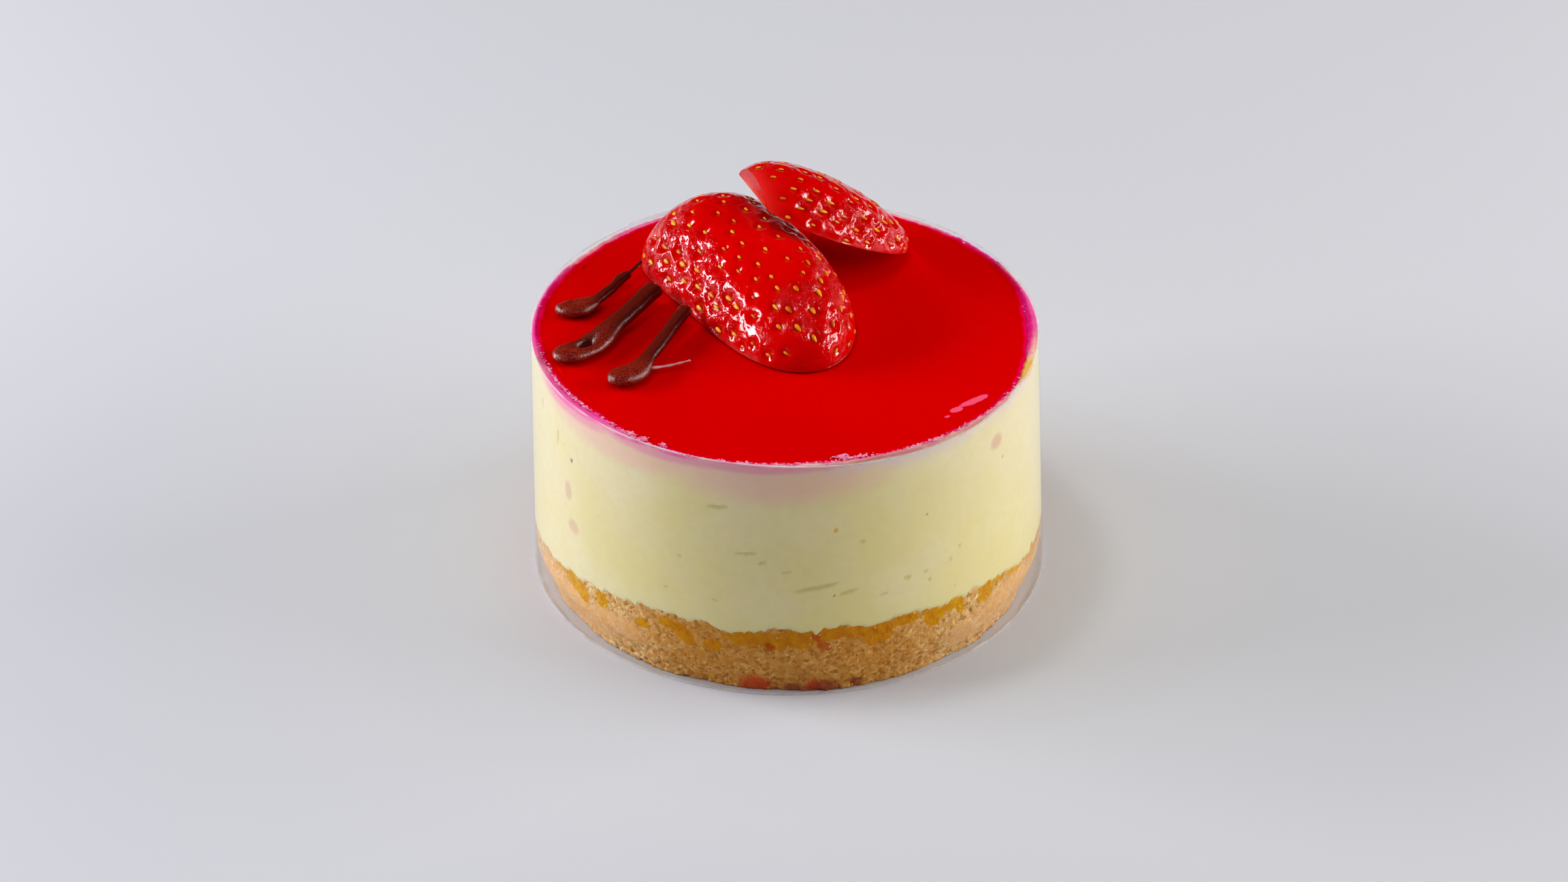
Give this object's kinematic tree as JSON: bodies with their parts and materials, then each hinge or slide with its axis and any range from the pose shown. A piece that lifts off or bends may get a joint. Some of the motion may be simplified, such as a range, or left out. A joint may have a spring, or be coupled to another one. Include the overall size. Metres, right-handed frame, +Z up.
{
  "type": "strawberry cheesecake",
  "caption": "Small round layered cheesecake in a clear film collar: crumb base, pale cream, red jelly top, strawberry halves and dark chocolate strokes.",
  "frame": {"origin": "middle of the underside, where the foot of the cake stands", "axes": "+Z up out of the jelly top, -Y towards the front, +X to the right seen from the front"},
  "size_m": [0.0816, 0.0816, 0.0585],
  "materials": {
    "crumb": "dry pressed biscuit crumb with golden butter patches, matte and grainy",
    "cream": "smooth pale cream cheese with small air pockets, soft sheen",
    "jelly": "mirror-smooth clear red jelly",
    "film": "clear glossy film",
    "strawberry": "wet glossy red skin with dimples and yellow seeds",
    "chocolate": "dark chocolate, satin with a fine grain"
  },
  "bodies": {
    "root": {"crumb_base": "crumb", "cream_layer": "cream", "jelly_layer": "jelly", "film_collar": "film", "front_berry": "strawberry", "back_berry": "strawberry", "chocolate_stroke_1": "chocolate", "chocolate_stroke_2": "chocolate", "chocolate_stroke_3": "chocolate"}
  },
  "joints": []
}
